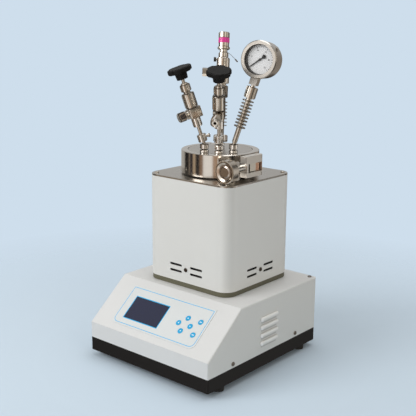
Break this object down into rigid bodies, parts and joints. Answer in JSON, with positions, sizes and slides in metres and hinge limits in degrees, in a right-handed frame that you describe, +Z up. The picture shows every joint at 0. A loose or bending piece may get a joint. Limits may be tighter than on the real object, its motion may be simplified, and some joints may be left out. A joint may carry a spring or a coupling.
{
  "type": "hydrothermal reactor",
  "caption": "Stirred hydrothermal reactor: heated furnace on a wedge base with keypad, clamped pressure vessel, needle valves, gauge and relief valve.",
  "frame": {"origin": "centre of the base, on the surface that the rubber feet stand on", "axes": "+Z up, -Y towards the control panel, +X to the right of a person facing the control panel"},
  "size_m": [0.298, 0.3211, 0.6007],
  "materials": {
    "black_coat": "satin black powder coat",
    "white_coat": "fine-textured white powder coat",
    "black_rubber": "matt",
    "dark_screw": "blackened steel",
    "black_plastic": "matt",
    "black_gloss": "gloss",
    "panel_film": "printed polyester film, satin",
    "display_glass": "dark tinted window",
    "key_cyan": "cyan, domed",
    "circuit_board": "green laminate",
    "motor_steel": "zinc plated",
    "rotor_aluminium": "machined",
    "olive_coat": "matt olive grey coat",
    "casing_white": "white powder coat",
    "plate_steel": "brushed stainless sheet",
    "insulation_wool": "ceramic fibre",
    "block_aluminium": "machined",
    "heater_band": "mica band heater",
    "sensor_steel": "sheathed probe",
    "vessel_steel": "turned stainless, satin",
    "liner_white": "fluoropolymer",
    "seal_black": "graphite filled",
    "clamp_steel": "machined stainless, satin",
    "fitting_steel": "bright turned stainless",
    "wheel_black": "moulded, satin",
    "gauge_steel": "polished stainless",
    "gauge_glass": "clear",
    "dial_white": "matt white",
    "pointer_black": "matt black",
    "band_pink": "magenta anodised band",
    "seal_wire": "thin twisted wire with a lead slug"
  },
  "bodies": {
    "reactor": {"band_heater": "heater_band", "base_cover": "white_coat", "base_tray": "black_coat", "block_sensor": "sensor_steel", "case_screws": "dark_screw", "clamp_pins": "clamp_steel", "clamp_rear_half": "clamp_steel", "control_board": "circuit_board", "control_overlay": "panel_film", "display_window": "display_glass", "front_valve_body": "fitting_steel", "front_valve_bonnet": "fitting_steel", "furnace_base_plate": "olive_coat", "furnace_casing": "casing_white", "furnace_insulation": "insulation_wool", "furnace_screws": "dark_screw", "furnace_top_plate": "plate_steel", "gauge_case": "gauge_steel", "gauge_dial": "dial_white", "gauge_pipe": "fitting_steel", "gauge_window": "gauge_glass", "heater_block": "block_aluminium", "left_valve_body": "fitting_steel", "left_valve_bonnet": "fitting_steel", "pipe_nuts": "fitting_steel", "port_adapters": "fitting_steel", "power_inlet": "black_plastic", "power_supply": "circuit_board", "rear_panel": "white_coat", "relief_band": "band_pink", "relief_body": "fitting_steel", "relief_bonnet": "fitting_steel", "relief_pipe": "fitting_steel", "relief_seal_wire": "seal_wire", "rubber_feet": "black_rubber", "seal_ring": "seal_black", "stir_motor": "motor_steel", "switch_housing": "black_plastic", "valve_pipes": "fitting_steel", "vessel": "vessel_steel", "vessel_head": "vessel_steel", "vessel_liner": "liner_white"},
    "rocker": {"switch_rocker": "black_gloss"},
    "stir_drive": {"stir_rotor": "rotor_aluminium"},
    "stirrer": {"stir_bar": "liner_white"},
    "latch_bolt": {"swing_bolt": "clamp_steel"},
    "latch_washer": {"bolt_washer": "clamp_steel"},
    "latch_nut": {"hand_nut": "clamp_steel"},
    "clamp_front": {"clamp_front_half": "clamp_steel"},
    "left_needle": {"left_valve_needle": "fitting_steel"},
    "left_wheel": {"left_valve_handwheel": "wheel_black"},
    "front_needle": {"front_valve_needle": "fitting_steel"},
    "front_wheel": {"front_valve_handwheel": "wheel_black"},
    "pointer": {"gauge_pointer": "pointer_black"},
    "key_up": {"key_up": "key_cyan"},
    "key_down": {"key_down": "key_cyan"},
    "key_left": {"key_left": "key_cyan"},
    "key_right": {"key_right": "key_cyan"},
    "key_set": {"key_set": "key_cyan"},
    "key_run": {"key_run": "key_cyan"}
  },
  "joints": [
    {"name": "power_switch", "type": "hinge", "parent": "reactor", "child": "rocker", "pos_m": [-0.045, 0.1555, 0.068], "axis": [-1, 0, 0], "range_deg": [-18, 0]},
    {"name": "key_up_press", "type": "slide", "parent": "reactor", "child": "key_up", "axis": [0, 0.6341, -0.7732], "range_m": [0, 0.0004], "stiffness_N_per_m": 400},
    {"name": "key_down_press", "type": "slide", "parent": "reactor", "child": "key_down", "axis": [0, 0.6341, -0.7732], "range_m": [0, 0.0004], "stiffness_N_per_m": 400},
    {"name": "key_left_press", "type": "slide", "parent": "reactor", "child": "key_left", "axis": [0, 0.6341, -0.7732], "range_m": [0, 0.0004], "stiffness_N_per_m": 400},
    {"name": "key_right_press", "type": "slide", "parent": "reactor", "child": "key_right", "axis": [0, 0.6341, -0.7732], "range_m": [0, 0.0004], "stiffness_N_per_m": 400},
    {"name": "key_set_press", "type": "slide", "parent": "reactor", "child": "key_set", "axis": [0, 0.6341, -0.7732], "range_m": [0, 0.0004], "stiffness_N_per_m": 400},
    {"name": "key_run_press", "type": "slide", "parent": "reactor", "child": "key_run", "axis": [0, 0.6341, -0.7732], "range_m": [0, 0.0004], "stiffness_N_per_m": 400},
    {"name": "rotor_spin", "type": "hinge", "parent": "reactor", "child": "stir_drive", "pos_m": [0, 0.041, 0.147], "axis": [0, 0, 1], "continuous": true},
    {"name": "stirrer_spin", "type": "hinge", "parent": "reactor", "child": "stirrer", "pos_m": [0, 0.041, 0.18], "axis": [0, 0, 1], "continuous": true},
    {"name": "bolt_swing", "type": "hinge", "parent": "reactor", "child": "latch_bolt", "pos_m": [0.08525, 0.0403, 0.3675], "axis": [0, 0, 1], "range_deg": [0, 80]},
    {"name": "washer_travel", "type": "slide", "parent": "latch_bolt", "child": "latch_washer", "axis": [0, -1, 0], "range_m": [0, 0.009]},
    {"name": "nut_turn", "type": "hinge", "parent": "latch_washer", "child": "latch_nut", "pos_m": [0.08525, -0.032, 0.3675], "axis": [0, -1, 0], "range_deg": [0, 2160]},
    {"name": "clamp_open", "type": "hinge", "parent": "reactor", "child": "clamp_front", "pos_m": [-0.06751, 0.08484, 0.367], "axis": [0, 0, -1], "range_deg": [0, 2.81]},
    {"name": "left_needle_lift", "type": "slide", "parent": "reactor", "child": "left_needle", "axis": [-0.1773, -0.273, 0.9455], "range_m": [0, 0.005]},
    {"name": "left_wheel_turn", "type": "hinge", "parent": "left_needle", "child": "left_wheel", "pos_m": [-0.01824, -0.04311, 0.52066], "axis": [-0.1773, -0.273, 0.9455], "range_deg": [0, 1800]},
    {"name": "front_needle_lift", "type": "slide", "parent": "reactor", "child": "front_needle", "axis": [0.2055, -0.263, 0.9426], "range_m": [0, 0.005]},
    {"name": "front_wheel_turn", "type": "hinge", "parent": "front_needle", "child": "front_wheel", "pos_m": [0.05588, -0.03194, 0.5203], "axis": [0.2055, -0.263, 0.9426], "range_deg": [0, 1800]},
    {"name": "pointer_sweep", "type": "hinge", "parent": "reactor", "child": "pointer", "pos_m": [0.08737, 0.04691, 0.55468], "axis": [-0.2653, 0.9605, -0.0838], "range_deg": [0, 270]}
  ],
  "couplings": [
    {"joint": "stirrer_spin", "follows": "rotor_spin", "ratio": 1},
    {"joint": "washer_travel", "follows": "nut_turn", "m_per_rad": 0.00023873},
    {"joint": "clamp_open", "follows": "nut_turn", "ratio": 0.0013},
    {"joint": "left_wheel_turn", "follows": "left_needle_lift", "rad_per_m": 6283.2},
    {"joint": "front_wheel_turn", "follows": "front_needle_lift", "rad_per_m": 6283.2}
  ]
}
